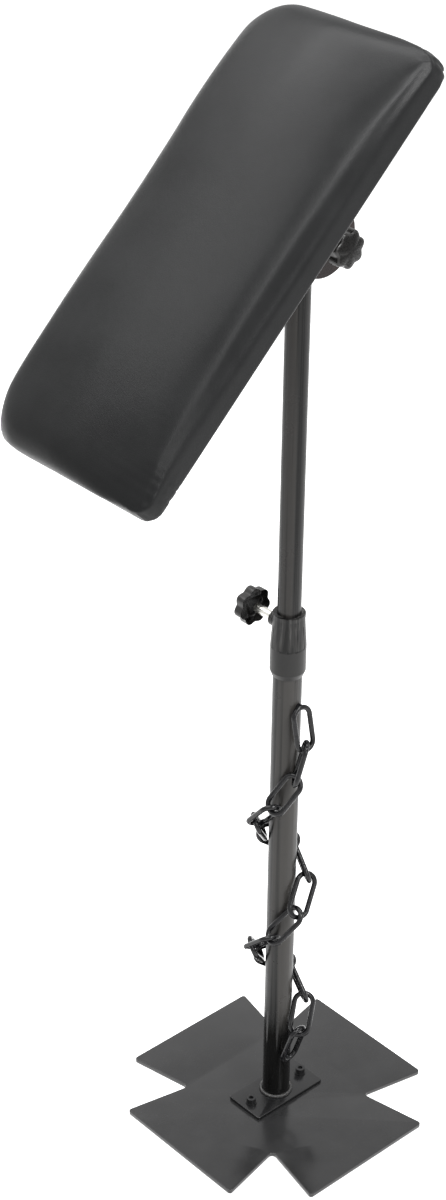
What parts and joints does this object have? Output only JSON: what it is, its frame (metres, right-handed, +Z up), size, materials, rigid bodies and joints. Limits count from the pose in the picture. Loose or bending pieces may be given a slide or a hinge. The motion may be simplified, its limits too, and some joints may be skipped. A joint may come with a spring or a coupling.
{
  "type": "tattoo arm rest stand",
  "caption": "Free-standing arm rest: an upholstered pad on a tilting bracket, a telescoping steel column with a clamp knob, a chain wound round the lower tube, and a notched flat base.",
  "frame": {"origin": "centre of the base plate's underside, on the column's axis, at floor level", "axes": "+Z up along the column; X along the hinge bolt, with the tilt knob at +X and the height knob at -X; the pad's low end points to -Y"},
  "size_m": [0.24, 0.3591, 1.0063],
  "materials": {
    "plate_black": "satin powder coat",
    "tube_black": "satin powder coat",
    "foot_black": "satin paint over weld",
    "screw_black": "black oxide",
    "zinc_steel": "bright zinc plate",
    "brass_insert": "plain",
    "collar_plastic": "moulded, matt",
    "knob_plastic": "moulded, satin",
    "guide_plastic": "moulded, matt",
    "friction_fibre": "matt fibre",
    "bracket_black": "satin powder coat",
    "cover_leather": "satin, fine grain",
    "foam": "open cell",
    "board_wood": "raw plywood",
    "dust_cloth": "non-woven",
    "staple_steel": "galvanised",
    "chain_black": "gloss black"
  },
  "bodies": {
    "column": {"base_plate": "plate_black", "foot_flange": "foot_black", "foot_weld": "foot_black", "foot_screws": "screw_black", "foot_washers": "screw_black", "lower_tube": "tube_black", "guide_bush": "guide_plastic", "collar_sleeve": "collar_plastic", "collar_cap": "collar_plastic", "boss_insert": "zinc_steel", "chain_link_01": "chain_black", "chain_link_02": "chain_black", "chain_link_03": "chain_black", "chain_link_04": "chain_black", "chain_link_05": "chain_black", "chain_link_06": "chain_black", "chain_link_07": "chain_black", "chain_link_08": "chain_black", "chain_link_09": "chain_black", "chain_link_10": "chain_black", "chain_link_11": "chain_black", "chain_link_12": "chain_black", "chain_link_13": "chain_black", "chain_link_14": "chain_black", "chain_link_15": "chain_black"},
    "glide": {"glide_plug": "guide_plastic"},
    "mast": {"upper_tube": "tube_black", "pivot_sleeve": "tube_black", "pivot_weld": "tube_black", "friction_washers": "friction_fibre"},
    "cradle": {"tilt_bracket": "bracket_black", "hinge_bolt": "zinc_steel", "bolt_washers": "zinc_steel", "bracket_screws": "zinc_steel", "tee_nuts": "zinc_steel", "pad_board": "board_wood", "pad_foam": "foam", "pad_cover": "cover_leather", "dust_cover": "dust_cloth", "staples": "staple_steel"},
    "tilt_nut": {"knob_insert": "brass_insert"},
    "tilt_grip": {"tilt_knob": "knob_plastic"},
    "height_screw": {"height_stud": "zinc_steel"},
    "height_grip": {"height_knob": "knob_plastic"}
  },
  "joints": [
    {"name": "height_slide", "type": "slide", "parent": "column", "child": "glide", "axis": [0, 0, 1], "range_m": [-0.3, 0.07]},
    {"name": "swivel", "type": "hinge", "parent": "glide", "child": "mast", "pos_m": [0, 0, 0], "axis": [0, 0, 1], "continuous": true},
    {"name": "tilt", "type": "hinge", "parent": "mast", "child": "cradle", "pos_m": [0, 0, 0.853], "axis": [1, 0, 0], "range_deg": [-119, 31]},
    {"name": "tilt_knob_travel", "type": "slide", "parent": "cradle", "child": "tilt_nut", "axis": [1, 0, 0], "range_m": [0, 0.0025]},
    {"name": "tilt_knob_spin", "type": "hinge", "parent": "tilt_nut", "child": "tilt_grip", "pos_m": [0, 0, 0.853], "axis": [1, 0, 0], "range_deg": [0, 721]},
    {"name": "height_knob_travel", "type": "slide", "parent": "column", "child": "height_screw", "axis": [-1, 0, 0], "range_m": [0, 0.0025]},
    {"name": "height_knob_spin", "type": "hinge", "parent": "height_screw", "child": "height_grip", "pos_m": [0, 0, 0.506], "axis": [-1, 0, 0], "range_deg": [0, 721]}
  ],
  "couplings": [
    {"joint": "tilt_knob_spin", "follows": "tilt_knob_travel", "rad_per_m": 5026.5},
    {"joint": "height_knob_spin", "follows": "height_knob_travel", "rad_per_m": 5026.5}
  ]
}
